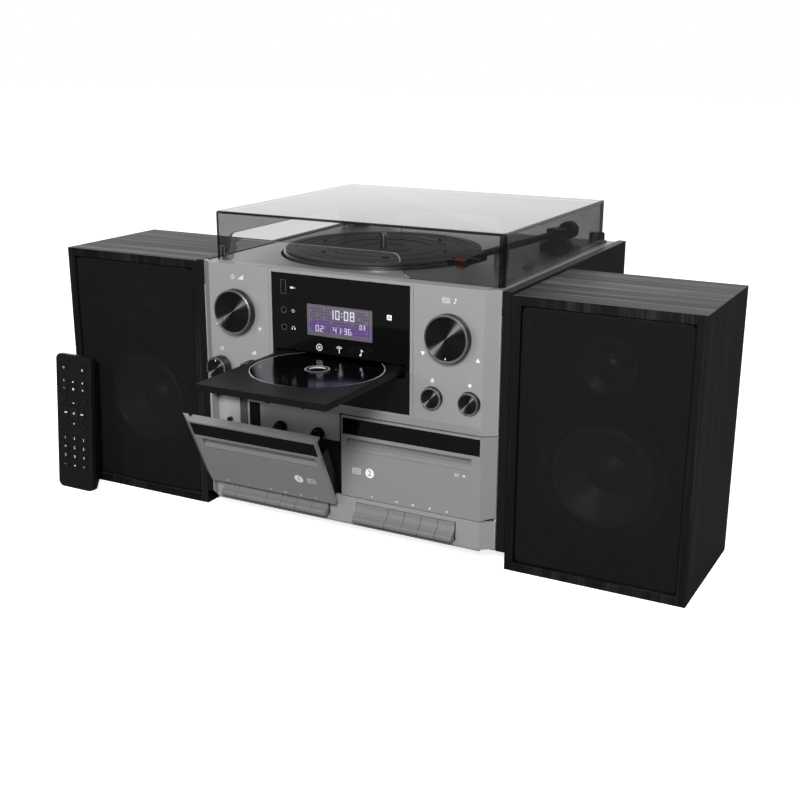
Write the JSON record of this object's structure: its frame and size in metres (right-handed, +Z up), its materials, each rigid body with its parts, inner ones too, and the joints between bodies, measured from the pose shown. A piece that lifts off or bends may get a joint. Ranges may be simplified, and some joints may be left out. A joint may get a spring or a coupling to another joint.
{
  "type": "stereo music centre",
  "caption": "Stereo music centre with turntable under a hinged cover, disc tray, two cassette decks, knobs and keys, two bookshelf loudspeakers and a remote control.",
  "frame": {"origin": "middle of the whole set's footprint, on the floor", "axes": "+X to the right seen from the front, +Y to the back, +Z up"},
  "size_m": [0.6594, 0.447, 0.2954],
  "materials": {
    "black_board": "satin",
    "black_plastic": "matte",
    "foot_rubber": "matte",
    "grey_plastic": "satin metallic paint",
    "gloss_black": "gloss",
    "display": "backlit liquid crystal display",
    "socket_metal": "dark with bright contacts",
    "knob": "spun face with a bright edge",
    "shaft_steel": "turned",
    "disc": "iridescent",
    "inner_plastic": "matte",
    "gear_nylon": "matte",
    "deck_plastic": "satin",
    "platter_metal": "turned",
    "mat_rubber": "matte",
    "motor_steel": "plated",
    "pulley_brass": "turned",
    "belt_rubber": "matte",
    "arm_plastic": "satin",
    "stylus_red": "translucent red",
    "cover_acrylic": "smoked clear",
    "bay_plastic": "satin",
    "ash_board": "black ash grain",
    "grille_cloth": "stretched cloth",
    "driver_metal": "black",
    "cone_paper": "pressed paper",
    "remote_plastic": "satin",
    "key_rubber": "matte",
    "core_steel": "laminated",
    "board_green": "lacquered"
  },
  "bodies": {
    "main_unit": {"cabinet": "black_board", "rear_panel": "black_plastic", "feet": "foot_rubber", "fascia": "grey_plastic", "display_panel": "gloss_black", "lcd_module": "display", "sockets": "socket_metal", "cd_chassis": "inner_plastic", "plinth": "deck_plastic", "turntable_motor": "motor_steel", "drive_belt": "belt_rubber", "tonearm_base": "arm_plastic", "cover_hinges": "arm_plastic", "deck_chassis": "bay_plastic", "left_speaker_cabinet": "ash_board", "right_speaker_cabinet": "ash_board", "speaker_grilles": "grille_cloth", "speaker_drivers": "driver_metal", "remote_case": "remote_plastic", "remote_keypad": "key_rubber", "transformer": "core_steel", "circuit_boards": "board_green"},
    "cover": {"dust_cover": "cover_acrylic"},
    "turntable": {"platter": "platter_metal", "slip_mat": "mat_rubber"},
    "pulley": {"motor_pulley": "pulley_brass"},
    "arm_yoke": {"tonearm_yoke": "arm_plastic"},
    "arm": {"tonearm": "arm_plastic", "cartridge": "stylus_red"},
    "cue": {"cue_lever": "arm_plastic"},
    "speed": {"speed_switch": "arm_plastic"},
    "tray": {"cd_tray": "gloss_black"},
    "disc": {"compact_disc": "disc"},
    "gear": {"tray_gear": "gear_nylon"},
    "door1": {"deck1_door": "grey_plastic", "deck1_window": "gloss_black"},
    "door2": {"deck2_door": "grey_plastic", "deck2_window": "gloss_black"},
    "supply": {"supply_reel": "arm_plastic"},
    "takeup": {"takeup_reel": "arm_plastic"},
    "volume_push": {"volume_shaft": "shaft_steel"},
    "volume": {"volume_knob": "knob"},
    "select_push": {"select_shaft": "shaft_steel"},
    "select": {"select_knob": "knob"},
    "mode": {"mode_knob": "knob"},
    "tone": {"tone_knob": "knob"},
    "eject": {"eject_button": "knob"},
    "record": {"record_button": "knob"},
    "cones": {"woofer_cones": "cone_paper"},
    "deck1_record": {"deck1_record_key": "grey_plastic"},
    "deck1_play": {"deck1_play_key": "grey_plastic"},
    "deck1_rewind": {"deck1_rewind_key": "grey_plastic"},
    "deck1_forward": {"deck1_forward_key": "grey_plastic"},
    "deck1_stop": {"deck1_stop_key": "grey_plastic"},
    "deck1_pause": {"deck1_pause_key": "grey_plastic"},
    "deck2_play": {"deck2_play_key": "grey_plastic"},
    "deck2_rewind": {"deck2_rewind_key": "grey_plastic"},
    "deck2_forward": {"deck2_forward_key": "grey_plastic"},
    "deck2_stop": {"deck2_stop_key": "grey_plastic"},
    "deck2_pause": {"deck2_pause_key": "grey_plastic"}
  },
  "joints": [
    {"name": "cover_hinge", "type": "hinge", "parent": "main_unit", "child": "cover", "pos_m": [0.00285, 0.1915, 0.257], "axis": [-1, 0, 0], "range_deg": [0, 65]},
    {"name": "platter_spin", "type": "hinge", "parent": "main_unit", "child": "turntable", "pos_m": [-0.02515, 0.0405, 0.25], "axis": [0, 0, 1], "continuous": true},
    {"name": "pulley_spin", "type": "hinge", "parent": "main_unit", "child": "pulley", "pos_m": [-0.0927, 0.0795, 0.245], "axis": [0, 0, 1], "continuous": true},
    {"name": "tonearm_swing", "type": "hinge", "parent": "main_unit", "child": "arm_yoke", "pos_m": [0.12085, 0.1335, 0.262], "axis": [0, 0, -1], "range_deg": [0, 36]},
    {"name": "tonearm_lift", "type": "hinge", "parent": "arm_yoke", "child": "arm", "pos_m": [0.12085, 0.1335, 0.266], "axis": [-0.9943, 0.1063, 0], "range_deg": [0, 4]},
    {"name": "cue_lift", "type": "hinge", "parent": "main_unit", "child": "cue", "pos_m": [0.14085, 0.1075, 0.254], "axis": [-1, 0, 0], "range_deg": [0, 60]},
    {"name": "speed_slide", "type": "slide", "parent": "main_unit", "child": "speed", "axis": [0, 1, 0], "range_m": [0, 0.008]},
    {"name": "tray_slide", "type": "slide", "parent": "main_unit", "child": "tray", "axis": [0, 1, 0], "range_m": [0, 0.128]},
    {"name": "disc_spin", "type": "hinge", "parent": "tray", "child": "disc", "pos_m": [0.00285, -0.1325, 0.173], "axis": [0, 0, 1], "continuous": true},
    {"name": "tray_gear_spin", "type": "hinge", "parent": "main_unit", "child": "gear", "pos_m": [-0.05565, -0.077, 0.165], "axis": [0, 0, 1], "continuous": true},
    {"name": "deck1_door_close", "type": "hinge", "parent": "main_unit", "child": "door1", "pos_m": [0.00285, -0.0825, 0.021], "axis": [-1, 0, 0], "range_deg": [0, 26]},
    {"name": "deck2_door_open", "type": "hinge", "parent": "main_unit", "child": "door2", "pos_m": [0.00285, -0.0825, 0.021], "axis": [1, 0, 0], "range_deg": [0, 26]},
    {"name": "supply_reel_spin", "type": "hinge", "parent": "main_unit", "child": "supply", "pos_m": [-0.0744, -0.0755, 0.093], "axis": [0, 1, 0], "continuous": true},
    {"name": "takeup_reel_spin", "type": "hinge", "parent": "main_unit", "child": "takeup", "pos_m": [-0.0319, -0.0755, 0.093], "axis": [0, 1, 0], "continuous": true},
    {"name": "deck1_record_key_press", "type": "hinge", "parent": "main_unit", "child": "deck1_record", "pos_m": [0.00285, -0.0505, 0.032], "axis": [1, 0, 0], "range_deg": [0, 4.5], "stiffness_Nm_per_rad": 0.3, "springref_deg": -5.73},
    {"name": "deck1_play_key_press", "type": "hinge", "parent": "main_unit", "child": "deck1_play", "pos_m": [0.00285, -0.0505, 0.032], "axis": [1, 0, 0], "range_deg": [0, 4.5], "stiffness_Nm_per_rad": 0.3, "springref_deg": -5.73},
    {"name": "deck1_rewind_key_press", "type": "hinge", "parent": "main_unit", "child": "deck1_rewind", "pos_m": [0.00285, -0.0505, 0.032], "axis": [1, 0, 0], "range_deg": [0, 4.5], "stiffness_Nm_per_rad": 0.3, "springref_deg": -5.73},
    {"name": "deck1_forward_key_press", "type": "hinge", "parent": "main_unit", "child": "deck1_forward", "pos_m": [0.00285, -0.0505, 0.032], "axis": [1, 0, 0], "range_deg": [0, 4.5], "stiffness_Nm_per_rad": 0.3, "springref_deg": -5.73},
    {"name": "deck1_stop_key_press", "type": "hinge", "parent": "main_unit", "child": "deck1_stop", "pos_m": [0.00285, -0.0505, 0.032], "axis": [1, 0, 0], "range_deg": [0, 4.5], "stiffness_Nm_per_rad": 0.3, "springref_deg": -5.73},
    {"name": "deck1_pause_key_press", "type": "hinge", "parent": "main_unit", "child": "deck1_pause", "pos_m": [0.00285, -0.0505, 0.032], "axis": [1, 0, 0], "range_deg": [0, 4.5], "stiffness_Nm_per_rad": 0.3, "springref_deg": -5.73},
    {"name": "deck2_play_key_press", "type": "hinge", "parent": "main_unit", "child": "deck2_play", "pos_m": [0.00285, -0.0505, 0.032], "axis": [1, 0, 0], "range_deg": [0, 4.5], "stiffness_Nm_per_rad": 0.3, "springref_deg": -5.73},
    {"name": "deck2_rewind_key_press", "type": "hinge", "parent": "main_unit", "child": "deck2_rewind", "pos_m": [0.00285, -0.0505, 0.032], "axis": [1, 0, 0], "range_deg": [0, 4.5], "stiffness_Nm_per_rad": 0.3, "springref_deg": -5.73},
    {"name": "deck2_forward_key_press", "type": "hinge", "parent": "main_unit", "child": "deck2_forward", "pos_m": [0.00285, -0.0505, 0.032], "axis": [1, 0, 0], "range_deg": [0, 4.5], "stiffness_Nm_per_rad": 0.3, "springref_deg": -5.73},
    {"name": "deck2_stop_key_press", "type": "hinge", "parent": "main_unit", "child": "deck2_stop", "pos_m": [0.00285, -0.0505, 0.032], "axis": [1, 0, 0], "range_deg": [0, 4.5], "stiffness_Nm_per_rad": 0.3, "springref_deg": -5.73},
    {"name": "deck2_pause_key_press", "type": "hinge", "parent": "main_unit", "child": "deck2_pause", "pos_m": [0.00285, -0.0505, 0.032], "axis": [1, 0, 0], "range_deg": [0, 4.5], "stiffness_Nm_per_rad": 0.3, "springref_deg": -5.73},
    {"name": "volume_press", "type": "slide", "parent": "main_unit", "child": "volume_push", "axis": [0, 1, 0], "range_m": [0, 0.0012], "stiffness_N_per_m": 1500, "springref_m": -0.0008},
    {"name": "volume_turn", "type": "hinge", "parent": "volume_push", "child": "volume", "pos_m": [-0.10765, -0.0945, 0.2075], "axis": [0, 1, 0], "continuous": true},
    {"name": "select_press", "type": "slide", "parent": "main_unit", "child": "select_push", "axis": [0, 1, 0], "range_m": [0, 0.0012], "stiffness_N_per_m": 1500, "springref_m": -0.0008},
    {"name": "select_turn", "type": "hinge", "parent": "select_push", "child": "select", "pos_m": [0.11335, -0.0945, 0.2075], "axis": [0, 1, 0], "continuous": true},
    {"name": "mode_turn", "type": "hinge", "parent": "main_unit", "child": "mode", "pos_m": [-0.12715, -0.0945, 0.151], "axis": [0, 1, 0], "continuous": true},
    {"name": "tone_turn", "type": "hinge", "parent": "main_unit", "child": "tone", "pos_m": [-0.09115, -0.0945, 0.151], "axis": [0, 1, 0], "range_deg": [-140, 140]},
    {"name": "eject_press", "type": "slide", "parent": "main_unit", "child": "eject", "axis": [0, 1, 0], "range_m": [0, 0.0012], "stiffness_N_per_m": 1200, "springref_m": -0.0008},
    {"name": "record_press", "type": "slide", "parent": "main_unit", "child": "record", "axis": [0, 1, 0], "range_m": [0, 0.0012], "stiffness_N_per_m": 1200, "springref_m": -0.0008},
    {"name": "cone_travel", "type": "slide", "parent": "main_unit", "child": "cones", "axis": [0, -1, 0], "range_m": [-0.002, 0.002], "stiffness_N_per_m": 1500}
  ],
  "couplings": [
    {"joint": "pulley_spin", "follows": "platter_spin", "ratio": 9.6667},
    {"joint": "tray_gear_spin", "follows": "tray_slide", "rad_per_m": 125},
    {"joint": "cue_lift", "follows": "tonearm_lift", "ratio": 15}
  ]
}
